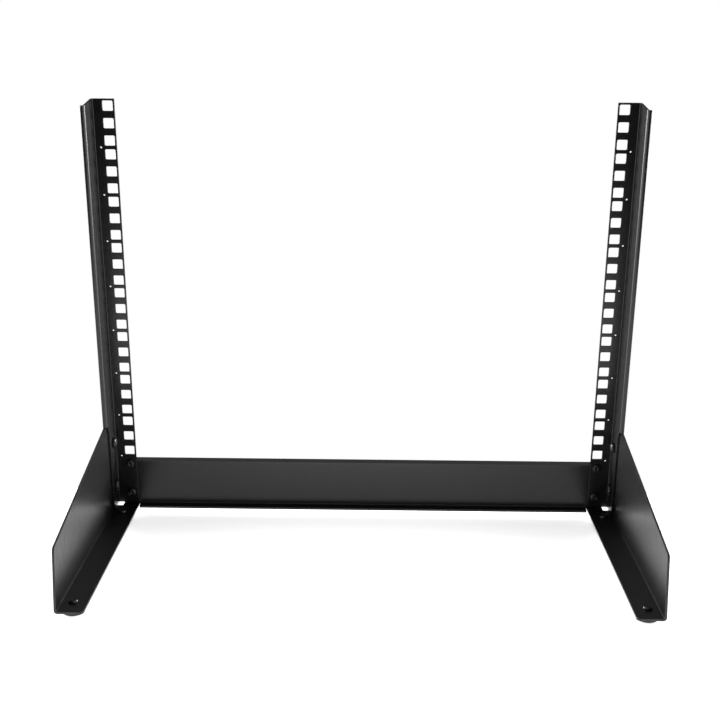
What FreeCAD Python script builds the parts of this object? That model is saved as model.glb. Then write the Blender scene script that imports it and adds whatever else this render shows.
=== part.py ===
# Two post open frame rack for a desk, eight rack units high.
# Two folded steel rails lean back over two folded steel legs, a flanged bar ties the rails at the
# bottom, and four screwed rubber feet carry the rack.
# Millimetres. X runs across the rack, the legs reach towards -Y and +Z is up.
import FreeCAD, Part
import math
import os

# Rack standard
rack_units = 8
unit_pitch = 44.45
hole_offsets = (6.35, 22.225, 38.1)
hole_pitch_x = 465.1
hole_side = 9.5
hole_corner = 1.2
mark_diameter = 3.0
mark_from_hole = 8.6

# Rails
rail_sheet = 2.0
rail_inner_margin = 6.25
rail_flange_width = 21.7
rail_web_depth = 42.0
rail_bend_inside = 1.0
rail_top_corner = 2.0
rail_lean_deg = 8.4
rail_below_units = 52.6
rail_end_gap = 0.2

# Legs
leg_sheet = 2.0
leg_flange_width = 24.3
leg_reach = 266.4
leg_rear_gap = 8.4
leg_bend_inside = 1.0
leg_front_height = 53.8
leg_front_lean_deg = 3.8
leg_slope_deg = 10.0
leg_top_corner = 4.0
leg_toe_corner = 4.0

# Bar between the rails
bar_ear_margin = 8.75
bar_sheet = 2.0
bar_below_units = 1.8
bar_below_legs = 2.0
bar_depth = 10.4
bar_bend_inside = 1.0
bar_side_gap = 1.3

# Screws between the bar and the rails
bar_screw_size = 4.0
bar_screw_drop = 6.0
bar_screw_pitch = 31.75

# Bolts between the legs and the rails
leg_bolt_size = 5.0
leg_bolt_inset = 12.0
leg_bolt_levels = (20.5, -25.5)

# Feet
foot_top_diameter = 20.0
foot_bottom_diameter = 18.6
foot_height = 6.6
foot_rounding = 0.9
foot_recess_diameter = 10.0
foot_recess_spare = 0.4
foot_screw_size = 4.0
foot_from_toe = 20.0
foot_from_heel = 20.0
foot_from_plate = 10.0

# Fits
hole_clearance = 0.5
nut_clearance = 0.2
thread_showing = 1.2

# Fasteners, as shares of the thread size
head_radius_ratio = 1.0
head_crown_ratio = 0.55
head_height_ratio = 0.72
head_rim_ratio = 0.3
nut_flats_ratio = 1.7
nut_height_ratio = 0.8
thread_tip_ratio = 0.12

# Flat sides that stand for a full turn on small round pieces
fastener_sides = 16
foot_sides = 32
hole_corner_steps = 2

# Worked out from the sizes above
lean = math.radians(rail_lean_deg)
rail_height = rack_units * unit_pitch
hole_x = hole_pitch_x / 2
rail_inner_x = hole_x - rail_inner_margin
rail_outer_x = rail_inner_x + rail_flange_width
rail_front_y = rail_sheet - rail_web_depth
leg_outer_x = rail_outer_x + leg_sheet
leg_inner_x = leg_outer_x - leg_flange_width
leg_top_z = foot_height + leg_sheet
bar_end_x = hole_x + bar_ear_margin
bar_inner_x = rail_inner_x - bar_side_gap
bar_back_y = rail_sheet + bar_sheet
bar_top = -bar_below_units
bar_bottom = -rail_below_units - bar_below_legs
bar_screw_levels = (bar_top - bar_screw_drop, bar_top - bar_screw_drop - bar_screw_pitch)
bar_screw_length = rail_sheet + bar_sheet + nut_height_ratio * bar_screw_size + thread_showing
bar_screw_tip_radius = bar_screw_size * (0.5 - thread_tip_ratio)
leg_bolt_length = rail_sheet + leg_sheet + nut_height_ratio * leg_bolt_size + thread_showing
foot_x = rail_outer_x - foot_from_plate
foot_reaches = (leg_reach - foot_from_toe, leg_rear_gap + foot_from_heel)
foot_nut_height = nut_height_ratio * foot_screw_size
foot_recess_depth = foot_nut_height + foot_recess_spare


def behind_meeting(rail_y, rail_z):
    """How far a point, given in the rails' own frame, lies behind the rails' meeting with the legs."""
    return rail_y * math.cos(lean) - (rail_z + rail_below_units) * math.sin(lean)


back_reach = max(
    behind_meeting(bar_back_y, bar_bottom),
    behind_meeting(bar_screw_length, min(bar_screw_levels) - bar_screw_tip_radius),
)
meeting_y = (leg_reach - back_reach) / 2


def vector(x, y, z):
    return FreeCAD.Vector(x, y, z)


across = vector(1, 0, 0)
rearward = vector(0, 1, 0)
upward = vector(0, 0, 1)
downward = vector(0, 0, -1)


def leaned(shape):
    """A shape from the rails' own frame, where they stand upright, moved to the rack's frame."""
    shape.translate(vector(0, 0, rail_below_units))
    shape.rotate(vector(0, 0, 0), across, rail_lean_deg)
    shape.translate(vector(0, meeting_y, leg_top_z))
    return shape


def mirrored(shape):
    return shape.mirror(vector(0, 0, 0), across)


def aimed(shape, place, direction):
    """A shape that points along +Z, turned to a direction with its origin at a place."""
    shape.Placement = FreeCAD.Placement(place, FreeCAD.Rotation(upward, direction))
    return shape


def unit(start, end):
    u = end[0] - start[0]
    v = end[1] - start[1]
    length = math.hypot(u, v)
    return u / length, v / length


def along(point, direction, distance):
    return point[0] + distance * direction[0], point[1] + distance * direction[1]


def corner_arc(before, corner, after, radius):
    """Start, middle and end of the arc that rounds a corner."""
    back = unit(corner, before)
    ahead = unit(corner, after)
    half_angle = math.acos(back[0] * ahead[0] + back[1] * ahead[1]) / 2
    inward = unit((0, 0), (back[0] + ahead[0], back[1] + ahead[1]))
    tangent = radius / math.tan(half_angle)
    depth = radius / math.sin(half_angle) - radius
    return along(corner, back, tangent), along(corner, inward, depth), along(corner, ahead, tangent)


def rounded_line(corners, radii, place):
    """Edges along an open line of corners, each inner one rounded by its own radius."""
    edges = []
    start = corners[0]
    for before, corner, after, radius in zip(corners, corners[1:], corners[2:], radii):
        if radius > 0:
            arc_start, arc_middle, arc_end = corner_arc(before, corner, after, radius)
            edges.append(Part.LineSegment(place(*start), place(*arc_start)).toShape())
            edges.append(Part.Arc(place(*arc_start), place(*arc_middle), place(*arc_end)).toShape())
            start = arc_end
        else:
            edges.append(Part.LineSegment(place(*start), place(*corner)).toShape())
            start = corner
    edges.append(Part.LineSegment(place(*start), place(*corners[-1])).toShape())
    return edges


def offset_line(corners, distance):
    """The same open line of corners, moved to its left by a distance."""
    ways = [unit(start, end) for start, end in zip(corners, corners[1:])]
    normals = [(-v, u) for u, v in ways]
    moved = []
    for corner, first, second in zip(corners, normals[:1] + normals, normals + normals[-1:]):
        both = (first[0] + second[0], first[1] + second[1])
        share = distance / (1 + first[0] * second[0] + first[1] * second[1])
        moved.append(along(corner, both, share))
    return moved


def folded_sheet(corners, sheet, bend_inside, place, length):
    """A sheet folded along its outside corners, material on the left, drawn out over a length."""
    inner = offset_line(corners, sheet)
    bends = len(corners) - 2
    edges = rounded_line(corners, [bend_inside + sheet] * bends, place)
    edges.append(Part.LineSegment(place(*corners[-1]), place(*inner[-1])).toShape())
    edges += rounded_line(inner[::-1], [bend_inside] * bends, place)
    edges.append(Part.LineSegment(place(*inner[0]), place(*corners[0])).toShape())
    return Part.Face(Part.Wire(edges)).extrude(length)


def rounded_plate(corners, radii, place, thickness):
    """A flat outline with a sharp first corner and a radius for each of the others."""
    edges = rounded_line(corners + corners[:1], radii, place)
    return Part.Face(Part.Wire(edges)).extrude(thickness)


def flat_sided_ring(radius, z, sides):
    turn = 2 * math.pi / sides
    points = [vector(radius * math.cos(k * turn), radius * math.sin(k * turn), z) for k in range(sides)]
    return Part.makePolygon(points + points[:1])


def flat_sided_rod(diameter, length, sides=fastener_sides):
    """Rod along +Z from the origin, its edges on the full circle."""
    return Part.Face(flat_sided_ring(diameter / 2, 0, sides)).extrude(vector(0, 0, length))


def flat_sided_loft(sections, sides):
    """Solid along Z through sections of (radius, z)."""
    return Part.makeLoft([flat_sided_ring(radius, z, sides) for radius, z in sections], True, True)


def pan_head_screw(size, length):
    """Screw along +Z, its head's flat side at the origin and its shank ending at the length."""
    head_radius = head_radius_ratio * size
    crown_radius = head_crown_ratio * size
    head_height = head_height_ratio * size
    rim_height = head_rim_ratio * size
    shoulder = ((head_radius + 0.6 * (crown_radius - head_radius)), 0.5 * (head_height + rim_height) + 0.15 * size)
    head = flat_sided_loft(
        [(crown_radius, -head_height), (shoulder[0], -shoulder[1]), (head_radius, -rim_height), (head_radius, 0)],
        fastener_sides,
    )
    tip = thread_tip_ratio * size
    shank = flat_sided_loft([(size / 2, 0), (size / 2, length - tip), (size / 2 - tip, length)], fastener_sides)
    return head.fuse(shank)


def hex_nut(size):
    """Nut along +Z with its lower face at the origin."""
    corner_diameter = nut_flats_ratio * size / math.cos(math.pi / 6)
    height = nut_height_ratio * size
    return flat_sided_rod(corner_diameter, height, 6).cut(flat_sided_rod(size + nut_clearance, height))


def screw_hole(size, depth, start, direction):
    return aimed(flat_sided_rod(size + hole_clearance, depth), start, direction)


def square_hole(z):
    """Cutter for one square hole of the right rail, its corners rounded in short flats."""
    corner_centre = hole_side / 2 - hole_corner
    points = []
    for quarter in range(4):
        towards = math.pi / 4 + quarter * math.pi / 2
        centre = (
            hole_x + math.copysign(corner_centre, math.cos(towards)),
            z + math.copysign(corner_centre, math.sin(towards)),
        )
        for step in range(hole_corner_steps + 1):
            angle = (quarter + step / hole_corner_steps) * math.pi / 2
            u, v = along(centre, (math.cos(angle), math.sin(angle)), hole_corner)
            points.append(vector(u, -rail_sheet, v))
    return Part.Face(Part.makePolygon(points + points[:1])).extrude(vector(0, 3 * rail_sheet, 0))


def web_holes():
    """Cutters for the leg bolts, through the right rail's web and the leg's side plate."""
    start_x = rail_outer_x - 2 * rail_sheet
    depth = 3 * rail_sheet + leg_sheet
    return [screw_hole(leg_bolt_size, depth, vector(start_x, -leg_bolt_inset, z), across) for z in leg_bolt_levels]


def rail_cutters():
    """Every hole of the right rail, in the rails' own frame."""
    cutters = web_holes()
    for rack_unit in range(rack_units):
        base = rack_unit * unit_pitch
        mark = flat_sided_rod(mark_diameter, 3 * rail_sheet)
        cutters.append(aimed(mark, vector(hole_x + mark_from_hole, -rail_sheet, base), rearward))
        cutters += [square_hole(base + offset) for offset in hole_offsets]
    for z in bar_screw_levels:
        cutters.append(screw_hole(bar_screw_size, 3 * rail_sheet, vector(hole_x, -rail_sheet, z), rearward))
    return cutters


def sharp_edge(shape, **place):
    """The edge whose two ends share the given coordinates."""
    for edge in shape.Edges:
        if all(abs(getattr(end, axis) - value) < 0.001 for end in edge.Vertexes for axis, value in place.items()):
            return edge


def under_rail_ends():
    """Everything below the level at which the rails stop, clear of the bend in the legs."""
    reach = 2 * leg_reach
    top_z = leg_top_z + leg_bend_inside + rail_end_gap
    return Part.makeBox(2 * reach, 2 * reach, reach, vector(-reach, -reach, top_z - reach))


def make_rail():
    """Right rail: a flange with square holes at the back and a web on the outside."""
    corners = [
        (rail_outer_x, rail_front_y),
        (rail_outer_x, rail_sheet),
        (rail_inner_x, rail_sheet),
    ]
    cut_off_z = -rail_below_units - rail_web_depth * math.tan(lean)

    def place(u, v):
        return vector(u, v, cut_off_z)

    rail = folded_sheet(corners, rail_sheet, rail_bend_inside, place, vector(0, 0, rail_height - cut_off_z))
    rail = rail.makeFillet(rail_top_corner, [sharp_edge(rail, Y=rail_front_y, Z=rail_height)])
    rail = rail.cut(Part.makeCompound(rail_cutters()))
    return leaned(rail).cut(under_rail_ends())


def make_leg():
    """Right leg: an upright side plate with a sloping top, and a flange turned in at the bottom."""
    toe_y = meeting_y - leg_reach
    corners = [
        (leg_inner_x, foot_height),
        (leg_outer_x, foot_height),
        (leg_outer_x, leg_top_z + 3 * leg_front_height),
    ]

    def place(u, v):
        return vector(u, toe_y, v)

    leg = folded_sheet(corners, leg_sheet, leg_bend_inside, place, vector(0, leg_reach + rail_web_depth, 0))
    leg = leg.makeFillet(leg_toe_corner, [sharp_edge(leg, X=leg_inner_x, Y=toe_y)])
    leg = leg.common(side_outline()).cut(heel_notch())
    holes = [leaned(hole) for hole in web_holes()]
    for reach in foot_reaches:
        top = vector(foot_x, meeting_y - reach, leg_top_z + leg_sheet)
        holes.append(screw_hole(foot_screw_size, 3 * leg_sheet, top, downward))
    return leg.cut(Part.makeCompound(holes))


def side_outline():
    """The side plate's outline, seen from the side, thick enough to take in the whole leg."""
    toe_y = meeting_y - leg_reach
    front_y = toe_y + (leg_front_height + leg_sheet) * math.tan(math.radians(leg_front_lean_deg))
    front_z = leg_top_z + leg_front_height
    heel_y = meeting_y + behind_meeting(rail_sheet, -rail_below_units - leg_sheet)
    slope = math.tan(math.radians(leg_slope_deg))
    rear_rise = (front_z - foot_height + (heel_y - front_y) * slope) / (1 + slope * math.tan(lean))
    corners = [
        (toe_y, foot_height),
        (heel_y, foot_height),
        (heel_y - rear_rise * math.tan(lean), foot_height + rear_rise),
        (front_y, front_z),
    ]

    def place(u, v):
        return vector(leg_inner_x - leg_sheet, u, v)

    radii = [0, leg_top_corner, leg_top_corner]
    return rounded_plate(corners, radii, place, vector(leg_flange_width + 2 * leg_sheet, 0, 0))


def heel_notch():
    """Room behind the leg's flange, so that it stops short of the bar."""
    start = vector(leg_inner_x, meeting_y - leg_rear_gap, foot_height)
    return Part.makeBox(leg_flange_width - leg_sheet, 2 * rail_web_depth, leg_sheet + leg_bend_inside, start)


def make_bar():
    """A channel between the rails, its face lying on the back of their flanges."""
    front_y = bar_back_y - bar_depth
    corners = [
        (front_y, bar_bottom),
        (bar_back_y, bar_bottom),
        (bar_back_y, bar_top),
        (front_y, bar_top),
    ]

    def place(u, v):
        return vector(-bar_end_x, u, v)

    bar = folded_sheet(corners, bar_sheet, bar_bend_inside, place, vector(2 * bar_end_x, 0, 0))
    cutters = []
    for start_x in (-bar_end_x, bar_inner_x):
        start = vector(start_x, rail_sheet - bar_depth, bar_bottom)
        cutters.append(Part.makeBox(bar_end_x - bar_inner_x, bar_depth, bar_top - bar_bottom, start))
    for x in (-hole_x, hole_x):
        for z in bar_screw_levels:
            cutters.append(screw_hole(bar_screw_size, 3 * bar_sheet, vector(x, rail_sheet - bar_sheet, z), rearward))
    return leaned(bar.cut(Part.makeCompound(cutters)))


def make_foot():
    """Round rubber foot with its top at the origin, a screw hole and a nut recess from below."""
    top_radius = foot_top_diameter / 2
    bottom_radius = foot_bottom_diameter / 2
    body = flat_sided_loft(
        [
            (bottom_radius - foot_rounding, -foot_height),
            (bottom_radius - 0.3 * foot_rounding, 0.3 * foot_rounding - foot_height),
            (bottom_radius, foot_rounding - foot_height),
            (top_radius, 0),
        ],
        foot_sides,
    )
    hole = screw_hole(foot_screw_size, foot_height, vector(0, 0, 0), downward)
    recess = flat_sided_rod(foot_recess_diameter, foot_recess_depth, foot_sides)
    recess.translate(vector(0, 0, -foot_height))
    return body.cut(hole).cut(recess)


def foot_parts(reach):
    """A foot with its screw and nut, under the right leg, the screw ending level with its nut."""
    top = vector(foot_x, meeting_y - reach, leg_top_z)
    grip = leg_sheet + foot_height - foot_recess_depth
    foot = make_foot()
    foot.translate(top - vector(0, 0, leg_sheet))
    screw = aimed(pan_head_screw(foot_screw_size, grip + foot_nut_height), top, downward)
    nut = aimed(hex_nut(foot_screw_size), top - vector(0, 0, grip), downward)
    return foot, screw, nut


def bar_screw_parts(z):
    """A screw and nut through the right rail's flange and the bar behind it."""
    screw = aimed(pan_head_screw(bar_screw_size, bar_screw_length), vector(hole_x, 0, z), rearward)
    nut = aimed(hex_nut(bar_screw_size), vector(hole_x, bar_back_y, z), rearward)
    return leaned(screw), leaned(nut)


def leg_bolt_parts(z):
    """A bolt and nut through the right rail's web and the leg's side plate."""
    head = vector(rail_outer_x - rail_sheet, -leg_bolt_inset, z)
    bolt = aimed(pan_head_screw(leg_bolt_size, leg_bolt_length), head, across)
    nut = aimed(hex_nut(leg_bolt_size), vector(leg_outer_x, -leg_bolt_inset, z), across)
    return leaned(bolt), leaned(nut)


def right_side():
    """Every piece of the right side, by its name without the side."""
    pieces = {"rail": make_rail(), "leg": make_leg()}
    for place, reach in zip(("front", "rear"), foot_reaches):
        foot, screw, nut = foot_parts(reach)
        pieces[place + "_foot"] = foot
        pieces[place + "_foot_screw"] = screw
        pieces[place + "_foot_nut"] = nut
    for place, z in zip(("upper", "lower"), bar_screw_levels):
        pieces[place + "_bar_screw"], pieces[place + "_bar_nut"] = bar_screw_parts(z)
    for place, z in zip(("upper", "lower"), leg_bolt_levels):
        pieces[place + "_leg_bolt"], pieces[place + "_leg_nut"] = leg_bolt_parts(z)
    return pieces


os.makedirs("parts", exist_ok=True)
make_bar().exportStep("parts/cross_bar.step")
for name, shape in right_side().items():
    shape.exportStep("parts/right_" + name + ".step")
    mirrored(shape).exportStep("parts/left_" + name + ".step")
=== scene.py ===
import bpy
import bmesh
import math
from mathutils import Matrix, Vector
from mathutils.geometry import delaunay_2d_cdt


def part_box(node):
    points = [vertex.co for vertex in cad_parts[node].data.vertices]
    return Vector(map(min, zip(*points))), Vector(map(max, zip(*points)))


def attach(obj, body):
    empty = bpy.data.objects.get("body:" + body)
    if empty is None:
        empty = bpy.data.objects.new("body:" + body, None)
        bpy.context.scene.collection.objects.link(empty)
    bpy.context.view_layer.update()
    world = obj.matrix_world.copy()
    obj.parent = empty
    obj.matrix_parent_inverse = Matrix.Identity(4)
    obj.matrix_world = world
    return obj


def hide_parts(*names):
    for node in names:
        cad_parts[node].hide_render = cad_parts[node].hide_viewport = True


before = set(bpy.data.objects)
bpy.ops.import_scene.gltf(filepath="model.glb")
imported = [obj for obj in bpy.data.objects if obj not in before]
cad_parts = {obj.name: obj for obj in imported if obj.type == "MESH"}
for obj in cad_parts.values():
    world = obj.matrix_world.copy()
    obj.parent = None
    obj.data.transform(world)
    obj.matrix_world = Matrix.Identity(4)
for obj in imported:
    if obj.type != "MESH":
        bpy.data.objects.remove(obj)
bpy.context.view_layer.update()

# Metres and degrees. The legs reach towards the camera at -Y, and the rails lean over them.

# Camera
camera_place = (0.0084, -1.1363, 0.4587)
camera_turn_deg = (76.710, -0.434, 0.660)
camera_lens_mm = 66.09
camera_sensor_mm = 36.0

# Folded sheets
sheet = 0.002
bend_inside = 0.001
edge_rounding = 0.00025
rim_steps = 3
bend_steps = 8
fill_tolerance = 0.0000001
cut_tolerance = 0.0000005

# Softened edges of the bar
bar_weld_reach = 0.000001
bar_edge_steps = 2
bar_edge_angle_deg = 50.0

# Studio: a small bright floor, bright ceiling and sides, dim walls and two lights behind the rack
# side_from and side_full are shares of a direction's length that lie along X
floor_sides_x = 0.55
floor_front_y = -0.45
floor_back_y = 0.2
floor_glow = 0.55
wall_glow = 0.05
ceiling_glow = 0.5
side_glow = 2.6
side_from = 0.45
side_full = 0.8
ceiling_from_deg = 24.0
ceiling_full_deg = 42.0
rear_light_place = (1.25, 0.83, 0.5)
rear_light_size = (0.5, 0.7)
rear_light_watts = 40.0
white = (1.0, 1.0, 1.0, 1.0)

# Colours and roughness of each finish, from the lowest to the highest
coat_colours = ((0.0032, 0.0032, 0.0032), (0.0044, 0.0044, 0.0044))
coat_roughness = (0.3, 0.36)
rubber_colours = ((0.010, 0.010, 0.010), (0.018, 0.018, 0.0175))
rubber_roughness = (0.55, 0.7)
plating_colours = ((0.03, 0.03, 0.031), (0.055, 0.055, 0.055))
plating_roughness = (0.25, 0.38)
plating_metallic = 0.85
floor_colours = ((0.93, 0.93, 0.93), (0.94, 0.94, 0.94))
floor_roughness = 0.9

# Span of the noise that takes a finish from its lowest value to its highest
colour_noise = (0.35, 0.65)
roughness_noise = (0.3, 0.7)

# Rack standard
rack_units = 8
unit_pitch = 0.04445
hole_offsets = (0.00635, 0.022225, 0.0381)
hole_x = 0.23255
hole_side = 0.0095
hole_corner = 0.0012
mark_diameter = 0.0018
mark_from_hole = 0.0082

# Rails
rail_inner_margin = 0.00625
rail_flange_width = 0.0217
rail_web_depth = 0.0355
rail_lip_reach = 0.002
rail_lean_deg = 8.4
rail_below_units = 0.0526
rail_end_gap = 0.0002

# Cut that keeps the rail's lip and the front of its web clear of the leg
rail_depth_by_leg = 0.0265
rail_cut_drop = 0.009
rail_cut_gap = 0.0003

# Legs
leg_flange_width = 0.0243
leg_reach = 0.2664
leg_front_height = 0.0538
leg_front_lean_deg = 3.8
leg_slope_deg = 10.0
leg_corner = 0.004
leg_heel_gap = 0.0003
leg_relief_width = 0.0065
leg_relief_depth = 0.0078

# Screws between the bar and the rails
bar_screw_size = 0.004
bar_screw_levels = (-0.0078, -0.03955)

# Bolts between the legs and the rails
leg_bolt_size = 0.005
leg_bolt_inset = 0.012
leg_bolt_levels = (0.0205, -0.0255)

# Feet
foot_top_diameter = 0.020
foot_bottom_diameter = 0.0186
foot_height = 0.0066
foot_rounding = 0.0009
foot_top_rounding = 0.0005
foot_recess_diameter = 0.010
foot_recess_spare = 0.0004
foot_screw_size = 0.004
foot_from_toe = 0.020
foot_from_plate = 0.010
foot_rear_reach = 0.0284

# Fits
hole_clearance = 0.0005
nut_clearance = 0.0002
thread_showing = 0.0012

# Fasteners, as shares of the thread size
thread_pitch_ratio = 0.175
thread_depth_ratio = 0.09
thread_tip_ratio = 0.12
head_radius_ratio = 1.0
head_crown_ratio = 0.55
head_height_ratio = 0.72
head_rim_ratio = 0.3
recess_wing_ratio = 0.5
recess_width_ratio = 0.085
recess_depth_ratio = 0.45
recess_taper = 0.45
nut_flats_ratio = 1.7
nut_height_ratio = 0.8
nut_chamfer_deg = 30.0
nut_face_ratio = 0.97

# Smoothness of round things
round_sides = 96
shank_sides = 48
hole_sides = 32
corner_steps = 4
dome_steps = 8
thread_steps = 6

# Worked out from the sizes above
lean = math.radians(rail_lean_deg)
rail_height = rack_units * unit_pitch
rail_inner_x = hole_x - rail_inner_margin
rail_outer_x = rail_inner_x + rail_flange_width
leg_outer_x = rail_outer_x + sheet
leg_inner_x = leg_outer_x - leg_flange_width
leg_top_z = foot_height + sheet
leg_slope = math.tan(math.radians(leg_slope_deg))
foot_x = rail_outer_x - foot_from_plate
foot_reaches = (leg_reach - foot_from_toe, foot_rear_reach)
bar_screw_hole = bar_screw_size + hole_clearance
leg_bolt_hole = leg_bolt_size + hole_clearance
foot_screw_hole = foot_screw_size + hole_clearance
leg_toe_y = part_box("right_leg")[0][1]
meeting_y = leg_toe_y + leg_reach
leg_front_y = leg_toe_y + (leg_front_height + sheet) * math.tan(math.radians(leg_front_lean_deg))
leg_flange_end_y = meeting_y + sheet / math.cos(lean) - leg_heel_gap
bend_middle = bend_inside + sheet / 2
bend_outside = bend_inside + sheet
bend_length = bend_middle * math.pi / 2
rails_frame = (
    Matrix.Translation((0, meeting_y, leg_top_z))
    @ Matrix.Rotation(lean, 4, "X")
    @ Matrix.Translation((0, 0, rail_below_units))
)
mirror = Matrix.Scale(-1, 4, (1, 0, 0))


def link(obj):
    bpy.context.scene.collection.objects.link(obj)
    return obj


def new_material(name):
    """A new material, with its graph of nodes and its shader."""
    material = bpy.data.materials.new(name)
    material.use_nodes = True
    graph = material.node_tree
    return material, graph, graph.nodes["Principled BSDF"]


def noise(graph, scale, detail=4.0):
    """Noise in the object's own coordinates, which are metres."""
    coordinates = graph.nodes.new("ShaderNodeTexCoord")
    texture = graph.nodes.new("ShaderNodeTexNoise")
    texture.inputs["Scale"].default_value = scale
    texture.inputs["Detail"].default_value = detail
    graph.links.new(coordinates.outputs["Object"], texture.inputs["Vector"])
    return texture.outputs["Fac"]


def mottled(graph, shader, factor, colours):
    """The shader's colour wanders between two, as the noise does."""
    ramp = graph.nodes.new("ShaderNodeValToRGB")
    for element, position, colour in zip(ramp.color_ramp.elements, colour_noise, colours):
        element.position = position
        element.color = (*colour, 1.0)
    graph.links.new(factor, ramp.inputs["Fac"])
    graph.links.new(ramp.outputs["Color"], shader.inputs["Base Color"])


def uneven_gloss(graph, shader, factor, roughness):
    """The shader's roughness wanders between two values, as the noise does."""
    span = graph.nodes.new("ShaderNodeMapRange")
    span.inputs["From Min"].default_value = roughness_noise[0]
    span.inputs["From Max"].default_value = roughness_noise[1]
    span.inputs["To Min"].default_value = roughness[0]
    span.inputs["To Max"].default_value = roughness[1]
    graph.links.new(factor, span.inputs["Value"])
    graph.links.new(span.outputs["Result"], shader.inputs["Roughness"])


def bumped(graph, shader, height, distance, strength):
    """Fine relief of the skin, from noise; the distance is in metres."""
    bump = graph.nodes.new("ShaderNodeBump")
    bump.inputs["Distance"].default_value = distance
    bump.inputs["Strength"].default_value = strength
    graph.links.new(height, bump.inputs["Height"])
    graph.links.new(bump.outputs["Normal"], shader.inputs["Normal"])


def powder_coat():
    """Black powder coat: an even satin with a fine orange-peel skin."""
    material, graph, shader = new_material("powder_coat")
    mottled(graph, shader, noise(graph, scale=60.0), coat_colours)
    uneven_gloss(graph, shader, noise(graph, scale=150.0), coat_roughness)
    bumped(graph, shader, noise(graph, scale=1400.0, detail=3.0), distance=0.00006, strength=0.35)
    return material


def foot_rubber():
    """Matte black rubber of the feet."""
    material, graph, shader = new_material("foot_rubber")
    mottled(graph, shader, noise(graph, scale=200.0), rubber_colours)
    uneven_gloss(graph, shader, noise(graph, scale=400.0), rubber_roughness)
    bumped(graph, shader, noise(graph, scale=2500.0, detail=3.0), distance=0.00008, strength=0.4)
    return material


def plated_steel():
    """Black plated steel of the screws and nuts."""
    material, graph, shader = new_material("plated_steel")
    shader.inputs["Metallic"].default_value = plating_metallic
    mottled(graph, shader, noise(graph, scale=900.0), plating_colours)
    uneven_gloss(graph, shader, noise(graph, scale=1500.0), plating_roughness)
    bumped(graph, shader, noise(graph, scale=4000.0, detail=2.0), distance=0.00003, strength=0.3)
    return material


def add_piece(name, mesh, node, material):
    """A finished mesh that stands for a node of the frame."""
    mesh.materials.clear()
    mesh.materials.append(material)
    mesh.shade_smooth()
    piece = link(bpy.data.objects.new(name, mesh))
    even_normals(piece)
    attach(piece, "root")
    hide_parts(node)


def even_normals(obj):
    """Shading that leaves the flat faces flat between their rounded edges."""
    modifier = obj.modifiers.new("even_normals", "WEIGHTED_NORMAL")
    modifier.keep_sharp = True


def on_both_sides(name, mesh, material):
    """The mesh of a right-hand piece, and its mirror image on the left."""
    left = mesh.copy()
    left.transform(mirror)
    left.flip_normals()
    add_piece("shaped_right_" + name, mesh, "right_" + name, material)
    add_piece("shaped_left_" + name, left, "left_" + name, material)


def arc_points(centre, radius, start_deg, end_deg, steps):
    points = []
    for step in range(steps + 1):
        angle = math.radians(start_deg + (end_deg - start_deg) * step / steps)
        points.append((centre[0] + radius * math.cos(angle), centre[1] + radius * math.sin(angle)))
    return points


def round_hole(u, v, diameter):
    return arc_points((u, v), diameter / 2, 0, 360, hole_sides)[:-1]


def square_hole(u, v):
    reach = hole_side / 2 - hole_corner
    centres = ((reach, reach), (-reach, reach), (-reach, -reach), (reach, -reach))
    points = []
    for quarter, (du, dv) in enumerate(centres):
        points += arc_points((u + du, v + dv), hole_corner, 90 * quarter, 90 * quarter + 90, corner_steps)
    return points


def rounded_corner(before, corner, after, radius):
    """Points that round a corner of an outline."""
    here = Vector(corner)
    back = (Vector(before) - here).normalized()
    ahead = (Vector(after) - here).normalized()
    half = back.angle(ahead) / 2
    centre = here + (back + ahead).normalized() * (radius / math.sin(half))
    start = here + back * (radius / math.tan(half)) - centre
    turn = start.angle_signed(here + ahead * (radius / math.tan(half)) - centre)
    points = []
    for step in range(2 * corner_steps + 1):
        angle = -turn * step / (2 * corner_steps)
        across = (start[0] * math.cos(angle) - start[1] * math.sin(angle),
                  start[0] * math.sin(angle) + start[1] * math.cos(angle))
        points.append((centre[0] + across[0], centre[1] + across[1]))
    return points


def inset_loop(loop, distance):
    """The same loop of corners, moved towards its left side."""
    moved = []
    for before, corner, after in zip(loop[-1:] + loop, loop, loop[1:] + loop[:1]):
        back = (Vector(corner) - Vector(before)).normalized()
        ahead = (Vector(after) - Vector(corner)).normalized()
        both = Vector((-back[1] - ahead[1], back[0] + ahead[0]))
        moved.append(Vector(corner) + both * (distance / (1 + back.dot(ahead))))
    return moved


def material_on_left(loop, is_hole):
    area = sum(a[0] * b[1] - b[0] * a[1] for a, b in zip(loop, loop[1:] + loop[:1]))
    return loop if (area > 0) != is_hole else loop[::-1]


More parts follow.
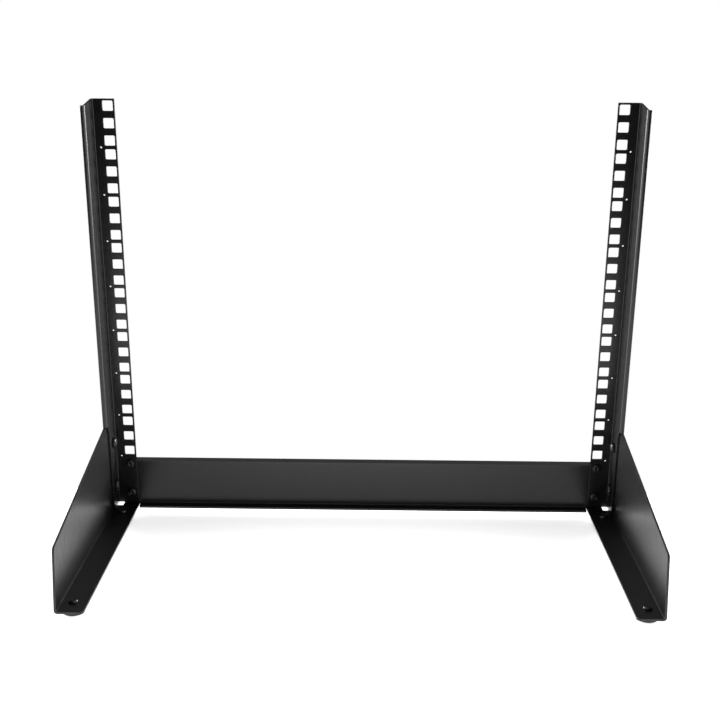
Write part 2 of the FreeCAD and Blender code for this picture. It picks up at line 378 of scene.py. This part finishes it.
def flat_sheet(outline, holes):
    """The flat pattern of a sheet, its middle at Z 0, with softly rounded edges."""
    shape = bmesh.new()
    upper_rims = []
    lower_rims = []
    outline_rim = 0
    loops = [material_on_left(outline, False)] + [material_on_left(hole, True) for hole in holes]
    for loop in loops:
        rings = []
        for side in (1, -1):
            for step in range(rim_steps + 1):
                angle = (step if side > 0 else rim_steps - step) / rim_steps * math.pi / 2
                height = side * (sheet / 2 - edge_rounding * (1 - math.cos(angle)))
                points = inset_loop(loop, edge_rounding * (1 - math.sin(angle)))
                rings.append([shape.verts.new((point[0], point[1], height)) for point in points])
        for upper, lower in zip(rings, rings[1:]):
            for k in range(len(loop)):
                shape.faces.new((upper[k - 1], lower[k - 1], lower[k], upper[k]))
        upper_rims.append(rings[0])
        lower_rims.append(rings[-1])
    for rims in (upper_rims, lower_rims):
        corners = [vertex for rim in rims for vertex in rim]
        edges = []
        for rim in rims:
            first = corners.index(rim[0])
            edges += [(first + k, first + (k + 1) % len(rim)) for k in range(len(rim))]
        flat = [Vector(vertex.co[:2]) for vertex in corners]
        rim_of = [number for number, rim in enumerate(rims) for vertex in rim]
        for triangle in triangulated(flat, edges):
            touched = {rim_of[k] for k in triangle}
            fills_hole = len(touched) == 1 and touched != {outline_rim}
            if not fills_hole:
                shape.faces.new([corners[k] for k in triangle])
    bmesh.ops.recalc_face_normals(shape, faces=shape.faces)
    return shape


def triangulated(flat, edges):
    """Triangles inside the outer loop, by the numbers of their corners; they fill the holes too."""
    inside_outline = 1
    filled = delaunay_2d_cdt(flat, edges, [], inside_outline, fill_tolerance)
    triangles, given_corners = filled[2:4]
    return [[given_corners[k][0] for k in triangle] for triangle in triangles]


def folded_place(along, off, start, bends):
    """Where a point of the flat sheet lies in the profile, which starts out along its first axis."""
    u, v = start
    heading = 0.0
    walked = 0.0
    for bend_start, turn in bends:
        if along <= bend_start:
            break
        u += (bend_start - walked) * math.cos(heading)
        v += (bend_start - walked) * math.sin(heading)
        bent = min(along - bend_start, bend_length)
        centre_u = u - turn * bend_middle * math.sin(heading)
        centre_v = v + turn * bend_middle * math.cos(heading)
        heading += turn * bent / bend_middle
        u = centre_u + turn * bend_middle * math.sin(heading)
        v = centre_v - turn * bend_middle * math.cos(heading)
        walked = bend_start + bent
    u += (along - walked) * math.cos(heading) - off * math.sin(heading)
    v += (along - walked) * math.sin(heading) + off * math.cos(heading)
    return u, v


def folded_sheet(outline, holes, start, bends, place):
    """A sheet cut to its flat pattern and folded along straight lines."""
    shape = flat_sheet(outline, holes)
    for bend_start, turn in bends:
        for step in range(bend_steps + 1):
            at = bend_start + bend_length * step / bend_steps
            everything = shape.verts[:] + shape.edges[:] + shape.faces[:]
            bmesh.ops.bisect_plane(
                shape, geom=everything, dist=cut_tolerance, plane_co=(at, 0, 0), plane_no=(1, 0, 0)
            )
    for vertex in shape.verts:
        along, across, off = vertex.co
        u, v = folded_place(along, off, start, bends)
        vertex.co = place(u, v, across)
    bmesh.ops.recalc_face_normals(shape, faces=shape.faces)
    mesh = bpy.data.meshes.new("folded_sheet")
    shape.to_mesh(mesh)
    shape.free()
    return mesh


def leg_top_beside(rail_y):
    """Level at which the leg's sloping top passes the rail, in the rails' own frame."""
    rise = leg_front_height + (meeting_y - leg_front_y) * leg_slope
    rise += rail_y * (leg_slope * math.cos(lean) - math.sin(lean))
    return rise / (math.cos(lean) + leg_slope * math.sin(lean)) - rail_below_units


def rail_end(rail_y):
    """Level at which the rail stops above the bend in the leg, in the rails' own frame."""
    return (bend_inside + rail_end_gap - rail_y * math.sin(lean)) / math.cos(lean) - rail_below_units


def make_rail():
    """Right rail: a flange with square holes, a web, and a narrow lip turned outward."""
    first_bend = rail_flange_width - bend_outside
    web_start = first_bend + bend_length
    web_top_y = sheet - bend_outside
    lip_bend_y = sheet - rail_web_depth + bend_outside
    second_bend = web_start + web_top_y - lip_bend_y
    lip_end = second_bend + bend_length + sheet + rail_lip_reach - bend_outside
    narrow_y = sheet - rail_depth_by_leg
    narrow = web_start + web_top_y - narrow_y
    cut_top = leg_top_beside(lip_bend_y) + rail_cut_gap
    outline = [
        (0, rail_end(sheet / 2)),
        (first_bend, rail_end(sheet / 2)),
        (web_start, rail_end(web_top_y)),
        (narrow, rail_end(narrow_y)),
        (narrow, cut_top - rail_cut_drop),
        (second_bend, cut_top),
        (lip_end, cut_top),
        (lip_end, rail_height),
        (0, rail_height),
    ]
    holes = []
    for rack_unit in range(rack_units):
        base = rack_unit * unit_pitch
        holes.append(round_hole(rail_inner_margin + mark_from_hole, base, mark_diameter))
        holes += [square_hole(rail_inner_margin, base + offset) for offset in hole_offsets]
    holes += [round_hole(rail_inner_margin, level, bar_screw_hole) for level in bar_screw_levels]
    bolt_along = web_start + web_top_y + leg_bolt_inset
    holes += [round_hole(bolt_along, level, leg_bolt_hole) for level in leg_bolt_levels]

    def place(u, v, across):
        return rails_frame @ Vector((u, v, across))

    bends = [(first_bend, -1), (second_bend, 1)]
    return folded_sheet(outline, holes, (rail_inner_x, sheet / 2), bends, place)


def make_leg():
    """Right leg: an upright side plate with a sloping top, and a flange turned in at the bottom."""
    bend = leg_flange_width - bend_outside
    plate_start = bend + bend_length
    plate_low_z = foot_height + bend_outside
    heel_y = meeting_y + sheet * (math.cos(lean) + math.sin(lean))
    front_z = leg_top_z + leg_front_height
    rise_at_heel = front_z - foot_height + (heel_y - leg_front_y) * leg_slope
    rear_rise = rise_at_heel / (1 + leg_slope * math.tan(lean))

    def plate(y, z):
        return plate_start + z - plate_low_z, y

    front_top = plate(leg_front_y, front_z)
    rear_top = plate(heel_y - rear_rise * math.tan(lean), foot_height + rear_rise)
    toe_low = (plate_start, leg_toe_y + bend_outside * math.tan(math.radians(leg_front_lean_deg)))
    heel_low = (plate_start, heel_y - bend_outside * math.tan(lean))
    relief = leg_flange_width - sheet - leg_relief_width
    outline = rounded_corner((bend, leg_toe_y), (0, leg_toe_y), (0, leg_flange_end_y), leg_corner)[::-1]
    outline += [(bend, leg_toe_y), toe_low]
    outline += rounded_corner(toe_low, front_top, rear_top, leg_corner)
    outline += rounded_corner(front_top, rear_top, heel_low, leg_corner)
    outline += [
        heel_low,
        (plate_start, leg_flange_end_y - leg_relief_depth),
        (relief, leg_flange_end_y - leg_relief_depth),
        (relief, leg_flange_end_y),
        (0, leg_flange_end_y),
    ]
    holes = [round_hole(foot_x - leg_inner_x, meeting_y - reach, foot_screw_hole) for reach in foot_reaches]
    for level in leg_bolt_levels:
        centre = rails_frame @ Vector((0, -leg_bolt_inset, level))
        along, y = plate(centre[1], centre[2])
        holes.append(round_hole(along, y, leg_bolt_hole))

    def place(u, v, across):
        return Vector((u, across, v))

    return folded_sheet(outline, holes, (leg_inner_x, foot_height + sheet / 2), [(bend, 1)], place)


def ringed_mesh(name, rings, closed):
    """A skin over rings of points; it closes on itself, or else its two ends are capped."""
    shape = bmesh.new()
    loops = [[shape.verts.new(point) for point in ring] for ring in rings]
    pairs = list(zip(loops, loops[1:]))
    if closed:
        pairs.append((loops[-1], loops[0]))
    else:
        shape.faces.new(loops[0][::-1])
        shape.faces.new(loops[-1])
    for lower, upper in pairs:
        for k in range(len(lower)):
            shape.faces.new((lower[k - 1], lower[k], upper[k], upper[k - 1]))
    bmesh.ops.recalc_face_normals(shape, faces=shape.faces)
    mesh = bpy.data.meshes.new(name)
    shape.to_mesh(mesh)
    shape.free()
    return mesh


def round_ring(radius, z, sides):
    turn = 2 * math.pi / sides
    return [(radius * math.cos(k * turn), radius * math.sin(k * turn), z) for k in range(sides)]


def thread_ring(size, z, length):
    """Points round the shank at one level, on a ridge that climbs one pitch in a turn."""
    pitch = thread_pitch_ratio * size
    tip_room = max(0.0, z - (length - thread_tip_ratio * size))
    ring = []
    for k in range(shank_sides):
        share = k / shank_sides
        phase = (z / pitch - share) % 1.0
        groove = abs(2 * phase - 1)
        radius = min(size / 2 - groove * thread_depth_ratio * size, size / 2 - tip_room)
        ring.append((radius * math.cos(2 * math.pi * share), radius * math.sin(2 * math.pi * share), z))
    return ring


def cross_recess(size):
    """Cutter for the driver's cross in a screw's head."""
    top = -(head_height_ratio + thread_tip_ratio) * size
    floor = (recess_depth_ratio - head_height_ratio) * size
    wing = recess_wing_ratio * size
    half = recess_width_ratio * size
    corners = [(wing, -half), (wing, half), (half, half)]
    rings = []
    for z, share in ((top, 1.0), (floor, recess_taper)):
        ring = []
        for quarter in range(4):
            turn = quarter * math.pi / 2
            for u, v in corners:
                across = share * (u * math.cos(turn) - v * math.sin(turn))
                up = share * (u * math.sin(turn) + v * math.cos(turn))
                ring.append((across, up, z))
        rings.append(ring)
    return ringed_mesh("cross_recess", rings, False)


def pan_head_screw(size, length):
    """Screw along +Z, its head's flat side at the origin."""
    head_radius = head_radius_ratio * size
    crown = head_crown_ratio * size
    top = -head_height_ratio * size
    rim = -head_rim_ratio * size
    rings = []
    for step in range(dome_steps + 1):
        angle = step / dome_steps * math.pi / 2
        radius = crown + (head_radius - crown) * math.sin(angle)
        rings.append(round_ring(radius, top + (rim - top) * (1 - math.cos(angle)), round_sides))
    rings.append(round_ring(head_radius, -edge_rounding, round_sides))
    rings.append(round_ring(head_radius - edge_rounding, 0, round_sides))
    head = link(bpy.data.objects.new("screw_head", ringed_mesh("screw_head", rings, False)))
    cutter = link(bpy.data.objects.new("cross_recess", cross_recess(size)))
    cut = head.modifiers.new("recess", "BOOLEAN")
    cut.operation = "DIFFERENCE"
    cut.solver = "EXACT"
    cut.object = cutter
    graph = bpy.context.evaluated_depsgraph_get()
    mesh = bpy.data.meshes.new_from_object(head.evaluated_get(graph))
    bpy.data.objects.remove(head)
    bpy.data.objects.remove(cutter)
    levels = int(length / (thread_pitch_ratio * size) * thread_steps)
    shank = [thread_ring(size, length * step / levels, length) for step in range(levels + 1)]
    shape = bmesh.new()
    shape.from_mesh(mesh)
    shape.from_mesh(ringed_mesh("shank", shank, False))
    shape.to_mesh(mesh)
    shape.free()
    return mesh


def hex_nut(size):
    """Nut along +Z with chamfered corners, its lower face at the origin."""
    height = nut_height_ratio * size
    half_flats = nut_flats_ratio * size / 2
    face = half_flats * nut_face_ratio
    bore = (size + nut_clearance) / 2
    rings = [[], [], [], []]
    for k in range(round_sides):
        angle = 2 * math.pi * k / round_sides
        within = (angle + math.pi / 6) % (math.pi / 3) - math.pi / 6
        side = half_flats / math.cos(within)
        fall = (side - face) * math.tan(math.radians(nut_chamfer_deg))
        for ring, radius, z in zip(rings, (face, side, side, face), (0, fall, height - fall, height)):
            ring.append((radius * math.cos(angle), radius * math.sin(angle), z))
    rings = [round_ring(bore, 0, round_sides)] + rings + [round_ring(bore, height, round_sides)]
    return ringed_mesh("hex_nut", rings, True)


def foot_body():
    """Round rubber foot below its origin, with a screw hole and a nut recess from below."""
    top_radius = foot_top_diameter / 2
    low_radius = foot_bottom_diameter / 2
    bore = foot_screw_hole / 2
    recess = foot_recess_diameter / 2
    recess_top = nut_height_ratio * foot_screw_size + foot_recess_spare - foot_height
    top_centre = (top_radius - foot_top_rounding, -foot_top_rounding)
    low_centre = (low_radius - foot_rounding, foot_rounding - foot_height)
    profile = [(bore, 0)]
    profile += arc_points(top_centre, foot_top_rounding, 90, 0, corner_steps)
    profile += arc_points(low_centre, foot_rounding, 0, -90, dome_steps)
    profile += [(recess + edge_rounding, -foot_height), (recess, edge_rounding - foot_height)]
    profile += [(recess, recess_top), (bore, recess_top)]
    return ringed_mesh("foot", [round_ring(radius, z, round_sides) for radius, z in profile], True)


def aimed(mesh, place, direction, frame_of_place):
    """A copy of a mesh that points along +Z, turned to a direction from a place."""
    turned = mesh.copy()
    towards = Vector(direction).to_track_quat("Z", "Y").to_matrix().to_4x4()
    turned.transform(frame_of_place @ Matrix.Translation(place) @ towards)
    return turned


def make_screws(size, grip, showing, direction, frame_of_seats, seats, steel):
    """Screws of one size and their nuts; seats holds the names of both and where the head sits."""
    screw = pan_head_screw(size, grip + nut_height_ratio * size + showing)
    nut = hex_nut(size)
    for screw_name, nut_name, seat in seats:
        nut_seat = Vector(seat) + grip * Vector(direction)
        on_both_sides(screw_name, aimed(screw, seat, direction, frame_of_seats), steel)
        on_both_sides(nut_name, aimed(nut, nut_seat, direction, frame_of_seats), steel)


def make_fasteners(steel):
    two_sheets = 2 * sheet
    bar_seats = [
        (level_name + "_bar_screw", level_name + "_bar_nut", (hole_x, 0, level))
        for level_name, level in zip(("upper", "lower"), bar_screw_levels)
    ]
    make_screws(bar_screw_size, two_sheets, thread_showing, (0, 1, 0), rails_frame, bar_seats, steel)
    leg_seats = [
        (level_name + "_leg_bolt", level_name + "_leg_nut", (rail_outer_x - sheet, -leg_bolt_inset, level))
        for level_name, level in zip(("upper", "lower"), leg_bolt_levels)
    ]
    make_screws(leg_bolt_size, two_sheets, thread_showing, (1, 0, 0), rails_frame, leg_seats, steel)
    foot_grip = sheet + foot_height - nut_height_ratio * foot_screw_size - foot_recess_spare
    foot_seats = [
        (end_name + "_foot_screw", end_name + "_foot_nut", (foot_x, meeting_y - reach, leg_top_z))
        for end_name, reach in zip(("front", "rear"), foot_reaches)
    ]
    make_screws(foot_screw_size, foot_grip, 0, (0, 0, -1), Matrix.Identity(4), foot_seats, steel)


def make_feet(rubber):
    body = foot_body()
    for end_name, reach in zip(("front", "rear"), foot_reaches):
        foot = body.copy()
        foot.transform(Matrix.Translation((foot_x, meeting_y - reach, foot_height)))
        on_both_sides(end_name + "_foot", foot, rubber)


def dress_bar(coat):
    """The bar keeps its solid, with its edges softened like the other sheets'."""
    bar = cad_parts["cross_bar"]
    bar.data.materials.clear()
    bar.data.materials.append(coat)
    weld = bar.modifiers.new("joined_faces", "WELD")
    weld.merge_threshold = bar_weld_reach
    bevel = bar.modifiers.new("soft_edges", "BEVEL")
    bevel.width = edge_rounding
    bevel.segments = bar_edge_steps
    bevel.limit_method = "ANGLE"
    bevel.angle_limit = math.radians(bar_edge_angle_deg)
    even_normals(bar)


def make_camera():
    data = bpy.data.cameras.new("camera")
    data.lens = camera_lens_mm
    data.sensor_width = camera_sensor_mm
    camera = link(bpy.data.objects.new("camera", data))
    camera.location = camera_place
    camera.rotation_euler = [math.radians(turn) for turn in camera_turn_deg]
    bpy.context.scene.camera = camera


def make_floor():
    """A bright plate under the rack, as white as the backdrop that the camera sees behind it."""
    data = bpy.data.meshes.new("floor")
    corners = [(-1, floor_front_y), (1, floor_front_y), (1, floor_back_y), (-1, floor_back_y)]
    data.from_pydata([(side * floor_sides_x, y, 0) for side, y in corners], [], [(0, 1, 2, 3)])
    floor = link(bpy.data.objects.new("floor", data))
    material, graph, shader = new_material("pale_floor")
    shader.inputs["Roughness"].default_value = floor_roughness
    shader.inputs["Specular IOR Level"].default_value = 0.0
    shader.inputs["Emission Color"].default_value = white
    shader.inputs["Emission Strength"].default_value = floor_glow
    mottled(graph, shader, noise(graph, scale=3.0), floor_colours)
    data.materials.append(material)


def make_light(name, place, target, size, watts):
    data = bpy.data.lights.new(name, "AREA")
    data.shape = "RECTANGLE"
    data.size = size[0]
    data.size_y = size[1]
    data.energy = watts
    light = link(bpy.data.objects.new(name, data))
    light.location = place
    light.rotation_euler = (Vector(target) - Vector(place)).to_track_quat("-Z", "Y").to_euler()
    light.visible_camera = False


def make_rear_lights():
    x, y, z = rear_light_place
    target = (0, meeting_y, rail_height / 2)
    for name, side in (("rear_light_left", -1), ("rear_light_right", 1)):
        make_light(name, (side * x, y, z), target, rear_light_size, rear_light_watts)


def soft_rise(graph, value, start, full, glow):
    """Strength that climbs from the walls' glow to another, while a value passes from start to full."""
    rise = graph.nodes.new("ShaderNodeMapRange")
    rise.interpolation_type = "SMOOTHSTEP"
    rise.inputs["From Min"].default_value = start
    rise.inputs["From Max"].default_value = full
    rise.inputs["To Min"].default_value = wall_glow
    rise.inputs["To Max"].default_value = glow
    graph.links.new(value, rise.inputs["Value"])
    return rise.outputs["Result"]


def make_world():
    """White behind the rack; a bright ceiling and bright sides light it."""
    world = bpy.data.worlds.new("studio")
    world.use_nodes = True
    graph = world.node_tree
    backdrop = graph.nodes["Background"]
    backdrop.inputs["Color"].default_value = white
    room = graph.nodes.new("ShaderNodeBackground")
    direction = graph.nodes.new("ShaderNodeTexCoord")
    parts = graph.nodes.new("ShaderNodeSeparateXYZ")
    graph.links.new(direction.outputs["Generated"], parts.inputs["Vector"])
    height_from = math.sin(math.radians(ceiling_from_deg))
    height_full = math.sin(math.radians(ceiling_full_deg))
    ceiling = soft_rise(graph, parts.outputs["Z"], height_from, height_full, ceiling_glow)
    across = graph.nodes.new("ShaderNodeMath")
    across.operation = "ABSOLUTE"
    graph.links.new(parts.outputs["X"], across.inputs[0])
    sides = soft_rise(graph, across.outputs["Value"], side_from, side_full, side_glow)
    brighter = graph.nodes.new("ShaderNodeMath")
    brighter.operation = "MAXIMUM"
    graph.links.new(ceiling, brighter.inputs[0])
    graph.links.new(sides, brighter.inputs[1])
    graph.links.new(brighter.outputs["Value"], room.inputs["Strength"])
    ray = graph.nodes.new("ShaderNodeLightPath")
    choice = graph.nodes.new("ShaderNodeMixShader")
    graph.links.new(ray.outputs["Is Camera Ray"], choice.inputs["Fac"])
    graph.links.new(room.outputs["Background"], choice.inputs[1])
    graph.links.new(backdrop.outputs["Background"], choice.inputs[2])
    graph.links.new(choice.outputs["Shader"], graph.nodes["World Output"].inputs["Surface"])
    bpy.context.scene.world = world


coat = powder_coat()
plated = plated_steel()
make_camera()
on_both_sides("rail", make_rail(), coat)
on_both_sides("leg", make_leg(), coat)
dress_bar(coat)
make_feet(foot_rubber())
make_fasteners(plated)
make_floor()
make_rear_lights()
make_world()
bpy.context.scene.view_settings.view_transform = "Standard"
